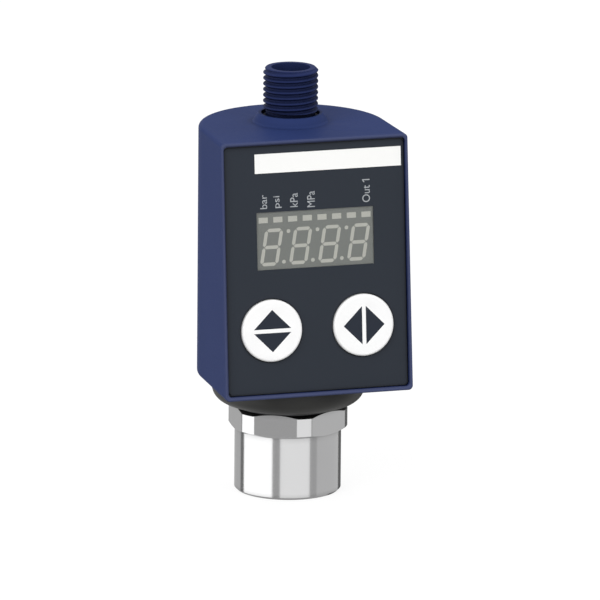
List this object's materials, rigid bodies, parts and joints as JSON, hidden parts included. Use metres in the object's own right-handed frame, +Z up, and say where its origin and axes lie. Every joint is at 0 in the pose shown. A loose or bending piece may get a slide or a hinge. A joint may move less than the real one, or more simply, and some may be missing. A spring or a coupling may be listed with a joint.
{
  "type": "pressure sensor",
  "caption": "Electronic pressure sensor: steel port with a hexagon and female thread, blue head that turns on it, digit display, round keys and a round plug connector on top.",
  "frame": {"origin": "centre of the port's lower face, on the axis of its thread", "axes": "+Z up along the port's axis to the plug connector, -Y towards the reader of the display"},
  "size_m": [0.0422, 0.0415, 0.0937],
  "materials": {
    "port_steel": "turned stainless steel, fine satin",
    "plain_steel": "plain steel",
    "spring_steel": "dark phosphated spring steel",
    "slip_plastic": "black low friction plastic",
    "seal_rubber": "black fluoroelastomer",
    "cell_ceramic": "white alumina ceramic",
    "contact_metal": "gold plated",
    "circuit_board": "green solder mask",
    "chip_plastic": "black moulded package",
    "header_plastic": "black",
    "collar_plastic": "black glass filled plastic, satin",
    "housing_plastic": "dark blue moulded plastic, satin",
    "connector_plastic": "dark blue moulded plastic, satin",
    "carrier_plastic": "black",
    "label_foil": "slate printed foil, satin",
    "strip_foil": "white foil, satin",
    "window_clear": "clear foil",
    "plate_plastic": "slate moulded plastic",
    "display_plastic": "grey",
    "light_segment": "pale diffusing resin",
    "lead_film": "amber film",
    "key_plastic": "white moulded plastic, satin",
    "arrow_plastic": "dark inlaid plastic",
    "plunger_plastic": "black",
    "switch_plastic": "dark grey"
  },
  "bodies": {
    "port": {"process_port": "port_steel", "stop_pin": "plain_steel", "thrust_washer": "slip_plastic", "cell_seal": "seal_rubber", "pressure_cell": "cell_ceramic", "cell_clamp_ring": "plain_steel", "cell_pins": "contact_metal", "cell_board": "circuit_board", "signal_chip": "chip_plastic", "lead_plug": "header_plastic", "slip_washer": "slip_plastic", "retaining_ring": "spring_steel"},
    "head": {"base_collar": "collar_plastic", "neck_seal": "seal_rubber", "housing": "housing_plastic", "connector_shell": "connector_plastic", "connector_seal": "seal_rubber", "contact_carrier": "carrier_plastic", "contact_pins": "contact_metal", "front_label": "label_foil", "marking_strip": "strip_foil", "display_window": "window_clear", "front_plate": "plate_plastic", "display_module": "display_plastic", "digit_segments": "light_segment", "digit_dots": "light_segment", "unit_bars": "light_segment", "display_board": "circuit_board", "board_screws": "plain_steel", "main_board": "circuit_board", "board_header": "header_plastic", "board_pins": "contact_metal", "processor_chip": "chip_plastic", "signal_lead": "lead_film", "left_key_gasket": "seal_rubber", "left_switch": "switch_plastic", "right_key_gasket": "seal_rubber", "right_switch": "switch_plastic"},
    "left_button": {"left_key": "key_plastic", "left_key_arrows": "arrow_plastic", "left_plunger": "plunger_plastic"},
    "right_button": {"right_key": "key_plastic", "right_key_arrows": "arrow_plastic", "right_plunger": "plunger_plastic"}
  },
  "joints": [
    {"name": "head_turn", "type": "hinge", "parent": "port", "child": "head", "pos_m": [0, 0, 0.0227], "axis": [0, 0, 1], "range_deg": [-150, 150], "deforming": ["signal_lead"]},
    {"name": "left_key_press", "type": "slide", "parent": "head", "child": "left_button", "axis": [0, 0.9952, -0.0976], "range_m": [0, 0.0005], "stiffness_N_per_m": 2000, "springref_m": -0.0005},
    {"name": "right_key_press", "type": "slide", "parent": "head", "child": "right_button", "axis": [0, 0.9952, -0.0976], "range_m": [0, 0.0005], "stiffness_N_per_m": 2000, "springref_m": -0.0005}
  ]
}
